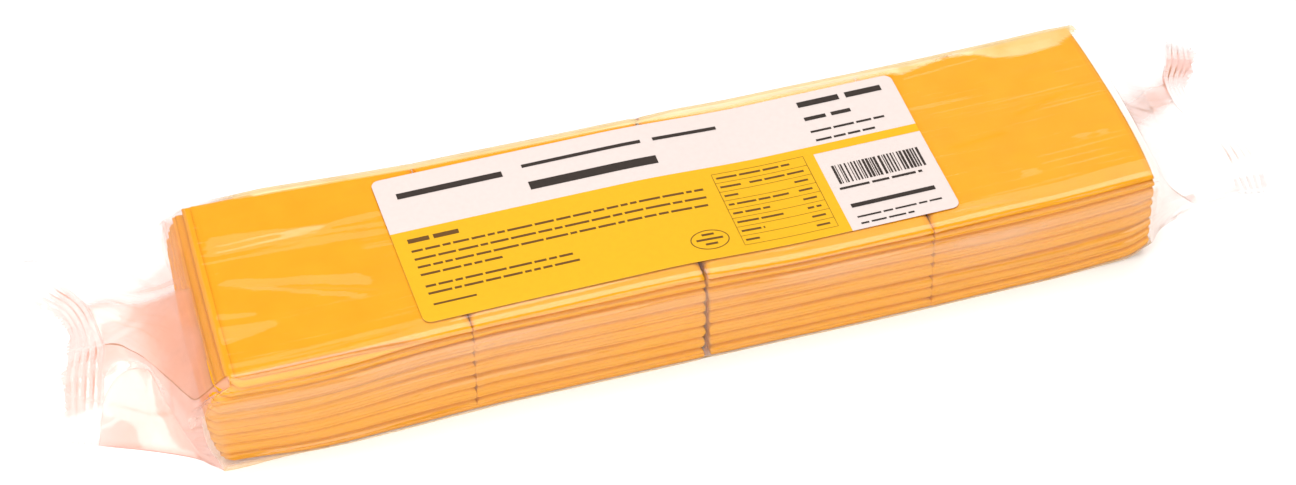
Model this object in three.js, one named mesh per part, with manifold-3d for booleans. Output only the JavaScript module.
// A long sealed pack of sliced processed cheese.
//
// Four square stacks of slices lie side by side in one tight clear bag. The bag's two ends
// are pressed flat into crimped fins, and a printed label lies on top. Because the bag is
// sealed, bag and cheese are one solid here: a block with the relief of the slice edges on
// its long sides, and a tapering hollow-looking tail with a flat fin at each end.
//
// Millimetres, +Z up. X runs along the pack, Y across it, and the origin is the middle of
// the underside, below the middle seam between two stacks.

import * as THREE from 'three';
import { mergeVertices } from 'three/addons/utils/BufferGeometryUtils.js';
import Module from 'manifold-3d';

const wasm = await Module();
wasm.setup();

// ---- Driving dimensions -------------------------------------------------------------

const SLICE = 82; // side of one square slice
const STACK_GAP = 0.6; // between two neighbouring stacks
const STACKS = 4; // stacks along X
const PITCH = SLICE + STACK_GAP;
const HALF_LENGTH = (STACKS * PITCH - STACK_GAP) / 2;
const HALF_WIDTH = SLICE / 2 + 0.5; // slice edge plus the film over it

const TOP_HEIGHT = 40.4; // top face above the underside, over the left half
const RIGHT_LOWER = 2.1; // the right half is this much lower
const LEFT_DROOP = 1.2; // the top droops towards the left end
const RIGHT_RISE = 1.0; // and comes up again towards the right end
const HEEL = 1.2; // the lowest slices are drawn up towards the right end
const HEEL_TIP = 5.0; // on top of that, over the last stretch only

// Slices cling together in bundles, and each bundle is one ridge on a long side. From the
// bottom up: how thick a bundle is and how deep the groove over it is.
const BUNDLES = [
  [4.4, 1.2], [5.4, 0.7], [5.4, 1.2], [6.4, 0.7], [4.5, 0.8], [6.4, 1.0], [3.5, 1.2], [3.5, 0],
];
const BUNDLED_HEIGHT = BUNDLES.reduce((sum, [thickness]) => sum + thickness, 0);
const GROOVE_HALF_WIDTH = 0.7;
const EDGE_RADIUS = 3; // film rolled round the long top edges
const SEAM_DEPTH = 1.3; // how far the film sinks between two stacks
const SEAM_HALF_WIDTH = 1.4;
// How far the left end's lower slices reach past the top one: [height, reach].
const LEFT_END = [
  [0, 5.5], [5, 8], [11, 9.6], [18, 10.5], [24, 10.2], [30, 8.4], [34, 6.4], [36.6, 4.8], [38, 0],
];
const LEFT_END_TURN = 0.04; // the left end is not quite square to the pack
const END_SPREAD = 42; // length before either end over which it takes its shape
const LEFT_DRIFT = 4.6; // the left stack lies pushed back by this much at its outer end
const RIGHT_DRIFT = 1.5;
const FRONT_SPLAY = 5.0; // but its front spreads forward by this much
const FRONT_DROOP = 3.0; // and its top sags towards that long edge
const RIGHT_BULGE = 2.3; // the right end stands out in the middle of its width

const FILM = 1.2; // thickness of a flattened tail and its fin
const TAIL_OVERLAP = 4; // how far a tail's root sits inside the block
const CRIMP_WAVES = 3; // ridges across one fin
const CRIMP_HEIGHT = 0.7;

const LABEL_LENGTH = 192.4;
const LABEL_WIDTH = 72.3;
const LABEL_CORNER = 3;
const LABEL_THICKNESS = 0.3;
const LABEL_LIFT = 0.3; // clear of the film by this much
const LABEL_CENTRE = new THREE.Vector2(-2.1, 1.6);
const LABEL_TURN = THREE.MathUtils.degToRad(0.6);

// Each tail: where its fin starts and ends along X, and where the fin's back and front
// ends lie across the pack, with their heights.
const TAILS = {
  left: { sign: -1, root: 0.97, finStart: 206, finEnd: 219, back: 59, front: -27, backZ: 20, frontZ: 9 },
  right: { sign: 1, root: 0.97, finStart: 199, finEnd: 211, back: 44, front: -40, backZ: 15, frontZ: 21 },
};

// ---- Shape of the block -------------------------------------------------------------

const smooth = (t) => THREE.MathUtils.smoothstep(t, 0, 1);
const mix = THREE.MathUtils.lerp;

// Height of the top face over the pack's length.
function topHeight(x) {
  const right = RIGHT_LOWER * smooth((x + 15) / 55) - RIGHT_RISE * smooth((x - 125) / 40);
  return TOP_HEIGHT - right - LEFT_DROOP * smooth((-x - 128) / 37);
}

// Height of the underside over the pack's length.
function heel(x) {
  return HEEL * smooth((x - 125) / 35) + HEEL_TIP * smooth((x - 152) / 15) ** 2;
}

// How far the pack is pushed back, in +Y, at x for a point y across it.
function drift(x, y) {
  if (x > PITCH) return (RIGHT_DRIFT * (x - PITCH)) / PITCH;
  const splay = FRONT_SPLAY * smooth((-x - 70) / 70) * smooth((10 - y) / 50);
  return (LEFT_DRIFT * Math.max(0, -PITCH - x)) / PITCH - splay;
}

// How far the top sags towards the front long edge of the left stack.
function frontDroop(x, y) {
  return FRONT_DROOP * smooth((-x - 98) / 30) * smooth((-y - 22) / 19);
}

// 1 on a seam between two stacks, falling to 0 beside it.
function seam(x) {
  const nearest = Math.round(x / PITCH) * PITCH;
  if (Math.abs(nearest) > PITCH + 1) return 0;
  return Math.max(0, 1 - Math.abs(x - nearest) / SEAM_HALF_WIDTH);
}

// Points of one long side from the bottom up: ridge, groove, ridge, groove ... ridge.
function sideProfile(x, height) {
  const scale = height / BUNDLED_HEIGHT;
  const face = HALF_WIDTH - SEAM_DEPTH * seam(x);
  const points = [[face - GROOVE_HALF_WIDTH, 0]];
  let low = 0;
  for (const [thickness, groove] of BUNDLES) {
    const high = low + thickness;
    points.push([face, (low + GROOVE_HALF_WIDTH) * scale]);
    if (groove > 0) {
      points.push([face, (high - GROOVE_HALF_WIDTH) * scale], [face - groove, high * scale]);
    }
    low = high;
  }
  return points;
}

// The rolled top edge, from the side round to the top face.
function edgeProfile(x, height) {
  const points = [];
  for (const turn of [30, 60, 90]) {
    const a = THREE.MathUtils.degToRad(turn);
    const y = HALF_WIDTH - EDGE_RADIUS + EDGE_RADIUS * Math.cos(a) - SEAM_DEPTH * 0.5 * seam(x);
    points.push([y, height - EDGE_RADIUS + EDGE_RADIUS * Math.sin(a)]);
  }
  return points;
}

// How far the left end reaches out at a height of the bundles.
function leftReach(z) {
  for (let k = 1; k < LEFT_END.length; k += 1) {
    const [z0, reach0] = LEFT_END[k - 1];
    const [z1, reach1] = LEFT_END[k];
    if (z <= z1) return mix(reach0, reach1, (z - z0) / (z1 - z0));
  }
  return 0;
}

// Lower slices stand out past the top one at the left end, less so towards the back. The
// right end bulges evenly.
function endShift(x, y, share) {
  const near = smooth((Math.abs(x) - HALF_LENGTH + END_SPREAD) / END_SPREAD);
  if (x > 0) return near * RIGHT_BULGE * (1 - (y / HALF_WIDTH) ** 2);
  const reach = leftReach(share * BUNDLED_HEIGHT) * (1 - 0.15 * smooth((y - 5) / 36));
  return -near * (reach - LEFT_END_TURN * (y + SLICE / 2));
}

// One closed cross-section of the block at x, as points in space. narrow rounds the
// block's upright corners in at its two ends.
function blockRing(x, narrow) {
  const height = topHeight(x);
  const side = [...sideProfile(x, height), ...edgeProfile(x, height)];
  const topSteps = 8;
  const top = [];
  const innermost = side[side.length - 1][0];
  for (let k = 1; k < topSteps; k += 1) {
    top.push([innermost * (1 - (2 * k) / topSteps), height - 0.5 * SEAM_DEPTH * seam(x) * 0.5]);
  }
  const front = side.map(([y, z]) => [-y, z]).reverse();
  return [...side, ...top, ...front].map(([y, z]) => {
    const share = z / height;
    const level = mix(heel(x), height - frontDroop(x, y), share);
    return new THREE.Vector3(x + endShift(x, y, share), y * narrow + drift(x, y), level);
  });
}

// Stations along X: close together at the ends and round the seams, wider between.
function blockStations() {
  const stations = [];
  const cornerSteps = [[0, 0.962], [0.8, 0.981], [2, 0.995], [3.5, 1]];
  for (const [inset, narrow] of cornerSteps) {
    stations.push([-HALF_LENGTH + inset, narrow], [HALF_LENGTH - inset, narrow]);
  }
  for (const inset of [7, 11, 16, 24, 34, 44, 56, 69]) {
    stations.push([-HALF_LENGTH + inset, 1], [HALF_LENGTH - inset, 1]);
  }
  for (let k = -1; k <= 1; k += 1) {
    for (const step of [-SEAM_HALF_WIDTH, 0, SEAM_HALF_WIDTH]) stations.push([k * PITCH + step, 1]);
  }
  for (let k = 1; k < 8; k += 1) stations.push([(-PITCH * k) / 8, 1], [(PITCH * k) / 8, 1]);
  return stations.sort((a, b) => a[0] - b[0]);
}

// ---- Shape of a tail ----------------------------------------------------------------

// Height of the flat fin across the pack, from its front end to its back end.
function finHeight(tail, y) {
  return mix(tail.frontZ, tail.backZ, smooth((y - tail.front) / (tail.back - tail.front)));
}

// One closed cross-section of a tail. flat runs from 0 at the block to 1 at the fin, and
// lift raises the whole sheet for a crimp ridge.
function tailRing(tail, x, flat, lift) {
  const root = tail.sign * HALF_LENGTH;
  const width = HALF_WIDTH * tail.root;
  const back = mix(width + drift(root, width), tail.back, smooth(flat * 1.25));
  const front = mix(-width + drift(root, -width), tail.front, smooth(flat));
  const pinch = Math.pow(smooth(flat), 0.8);
  const foot = heel(root) + 0.8;
  const steps = 8;
  const upper = [];
  const lower = [];
  for (let k = 0; k <= steps; k += 1) {
    const y = mix(front, back, k / steps);
    const crown = (topHeight(root) - 1.2) * (1 - pinch);
    const middle = finHeight(tail, y) * pinch;
    upper.push(new THREE.Vector3(x, y, middle + crown + FILM / 2 + lift));
    lower.push(new THREE.Vector3(x, y, mix(foot, middle - FILM / 2 + lift, pinch)));
  }
  const backFold = new THREE.Vector3(x, back + FILM / 2, (upper[steps].z + lower[steps].z) / 2);
  const frontFold = new THREE.Vector3(x, front - FILM / 2, (upper[0].z + lower[0].z) / 2);
  return [...lower, backFold, ...upper.reverse(), frontFold];
}

// All cross-sections of a tail, from inside the block out to the fin's edge.
function tailRings(tail) {
  const rings = [];
  const start = HALF_LENGTH - TAIL_OVERLAP;
  const bodySteps = 9;
  rings.push(tailRing(tail, tail.sign * start, 0, 0));
  for (let k = 0; k <= bodySteps; k += 1) {
    const flat = k / bodySteps;
    rings.push(tailRing(tail, tail.sign * mix(HALF_LENGTH + 0.4, tail.finStart, flat), flat, 0));
  }
  const crimpSteps = 2 * CRIMP_WAVES;
  for (let k = 1; k <= crimpSteps; k += 1) {
    const x = mix(tail.finStart, tail.finEnd, k / crimpSteps);
    rings.push(tailRing(tail, tail.sign * x, 1, k % 2 === 1 ? CRIMP_HEIGHT : 0));
  }
  return rings;
}

// ---- Solids -------------------------------------------------------------------------

// Skins a row of cross-sections, each with the same number of points, and closes both
// ends with a fan round the section's middle. Sections run along +X and turn so that
// faces point outward; a row that runs along -X is reversed first.
function loft(rings) {
  const rows = rings[0][0].x > rings[rings.length - 1][0].x ? [...rings].reverse() : rings;
  const count = rows[0].length;
  const positions = rows.flat().flatMap((p) => [p.x, p.y, p.z]);
  const index = [];
  for (let r = 0; r + 1 < rows.length; r += 1) {
    for (let k = 0; k < count; k += 1) {
      const a = r * count + k;
      const b = r * count + ((k + 1) % count);
      index.push(a, b, b + count, a, b + count, a + count);
    }
  }
  for (const [r, flip] of [[0, true], [rows.length - 1, false]]) {
    const middle = new THREE.Vector3();
    rows[r].forEach((p) => middle.addScaledVector(p, 1 / count));
    const centre = positions.length / 3;
    positions.push(middle.x, middle.y, middle.z);
    for (let k = 0; k < count; k += 1) {
      const a = r * count + k;
      const b = r * count + ((k + 1) % count);
      index.push(...(flip ? [centre, b, a] : [centre, a, b]));
    }
  }
  const geometry = new THREE.BufferGeometry();
  geometry.setAttribute('position', new THREE.Float32BufferAttribute(positions, 3));
  geometry.setIndex(index);
  return geometry;
}

function toManifold(geometry) {
  const merged = mergeVertices(geometry);
  return new wasm.Manifold(new wasm.Mesh({
    numProp: 3,
    vertProperties: new Float32Array(merged.attributes.position.array),
    triVerts: new Uint32Array(merged.index.array),
  }));
}

function fromManifold(solid) {
  const mesh = solid.getMesh();
  const geometry = new THREE.BufferGeometry();
  geometry.setAttribute('position', new THREE.BufferAttribute(mesh.vertProperties, 3));
  geometry.setIndex(new THREE.BufferAttribute(mesh.triVerts, 1));
  geometry.computeVertexNormals();
  return geometry;
}

// The sealed bag with its contents: block and two tails joined into one solid.
function packGeometry() {
  const block = loft(blockStations().map(([x, narrow]) => blockRing(x, narrow)));
  let solid = toManifold(block);
  for (const tail of Object.values(TAILS)) solid = solid.add(toManifold(loft(tailRings(tail))));
  return fromManifold(solid);
}

// The label: a thin plate with rounded corners that follows the pack's crown. It is
// lofted from strips across the pack, each as wide as the rounded outline is there.
function labelGeometry() {
  const half = LABEL_LENGTH / 2;
  const insets = [0, 0.4, 1.2, LABEL_CORNER];
  const xs = [...insets.map((d) => -half + d), ...insets.map((d) => half - d)];
  for (let k = -9; k <= 9; k += 1) xs.push((k * (half - LABEL_CORNER)) / 10);
  xs.sort((a, b) => a - b);
  const rings = xs.map((x) => {
    const past = Math.max(0, Math.abs(x) - (half - LABEL_CORNER));
    const width = LABEL_WIDTH / 2 - LABEL_CORNER + Math.sqrt(LABEL_CORNER ** 2 - past ** 2);
    const bottom = topHeight(x + LABEL_CENTRE.x) + LABEL_LIFT;
    return [[-width, 0], [width, 0], [width, LABEL_THICKNESS], [-width, LABEL_THICKNESS]].map(
      ([y, z]) => new THREE.Vector3(x, y, bottom + z),
    );
  });
  return loft(rings);
}

// ---- Scene graph --------------------------------------------------------------------

function part(name, geometry, colour, roughness) {
  const material = new THREE.MeshStandardMaterial({ color: colour, roughness, metalness: 0 });
  const mesh = new THREE.Mesh(geometry, material);
  mesh.name = name;
  return mesh;
}

const group = new THREE.Group();
group.add(part('wrapped_pack', packGeometry(), 0xf8b53c, 0.3));

const label = part('label', labelGeometry(), 0xfcf0e8, 0.45);
label.position.set(LABEL_CENTRE.x, LABEL_CENTRE.y, 0);
label.rotation.z = LABEL_TURN;
group.add(label);

export default group;
